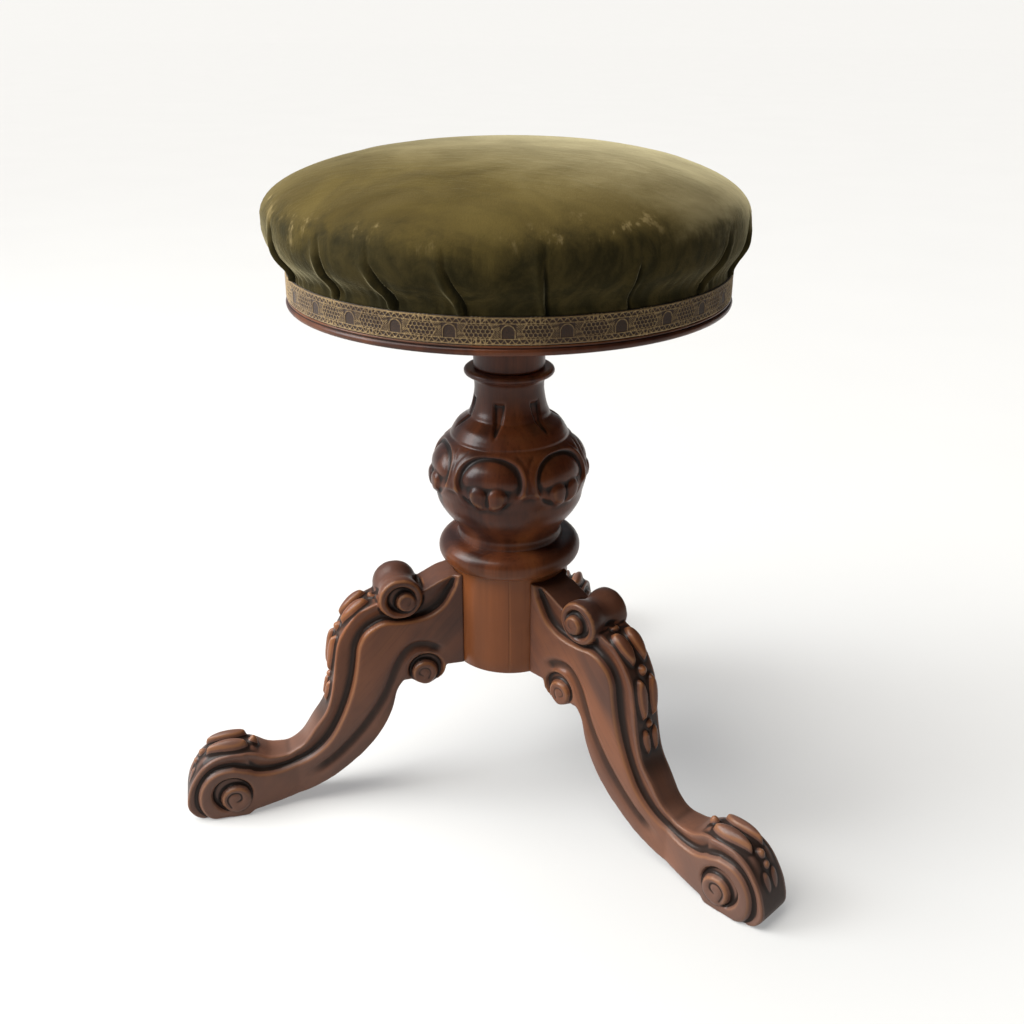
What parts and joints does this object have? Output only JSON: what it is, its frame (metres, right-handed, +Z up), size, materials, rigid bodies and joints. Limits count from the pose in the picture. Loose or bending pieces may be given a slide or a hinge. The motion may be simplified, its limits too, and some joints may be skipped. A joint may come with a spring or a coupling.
{
  "type": "revolving piano stool",
  "caption": "Round stuffed velvet seat that screws up and down on a carved walnut column with scrolled tripod legs.",
  "frame": {"origin": "on the floor, under the middle of the stool's bounding box; the column's axis stands at y = -0.05225 m", "axes": "+Z up along the column, +Y towards the rear leg, +X to the right of a viewer who faces +Y"},
  "size_m": [0.4996, 0.4555, 0.534],
  "materials": {
    "walnut": "carved and french polished walnut, red-brown, worn dark in the hollows",
    "beech": "plain sawn beech, unpolished",
    "wrought_iron": "turned and forged iron, dark, lightly oiled",
    "steel_fixings": "dull steel wood screws and blued tacks",
    "horsehair": "curled black-brown horsehair",
    "jute_scrim": "open plain-weave jute scrim",
    "cotton_wadding": "soft cotton wadding",
    "velvet": "worn olive-green velvet, yellower on the crown and darker on the sides",
    "gimp_braid": "woven gimp braid, brown ground with old-gold thread"
  },
  "bodies": {
    "base": {"column": "walnut", "leg_left": "walnut", "leg_right": "walnut", "leg_rear": "walnut", "leg_dowels": "beech", "tie_plate": "wrought_iron", "tie_plate_screws": "steel_fixings", "screw_nut": "wrought_iron", "nut_screws": "steel_fixings"},
    "screw_stop": {"stop_washer": "wrought_iron"},
    "seat": {"lift_screw": "wrought_iron", "stop_pin": "wrought_iron", "boss": "walnut", "boss_screws": "steel_fixings", "top_plate": "wrought_iron", "top_plate_screws": "steel_fixings", "seat_board": "beech", "rim_moulding": "walnut", "rim_screws": "steel_fixings", "horsehair_stuffing": "horsehair", "scrim_cover": "jute_scrim", "cotton_wadding": "cotton_wadding", "velvet_cover": "velvet", "cover_tacks": "steel_fixings", "gimp_braid": "gimp_braid"}
  },
  "joints": [
    {"name": "seat_lift", "type": "slide", "parent": "base", "child": "screw_stop", "axis": [0, 0, 1], "range_m": [0, 0.1105]},
    {"name": "seat_turn", "type": "hinge", "parent": "screw_stop", "child": "seat", "pos_m": [0, -0.05225, 0.424], "axis": [0, 0, 1], "range_deg": [0, 4680]}
  ],
  "couplings": [
    {"joint": "seat_lift", "follows": "seat_turn", "m_per_rad": 0.0013528}
  ]
}
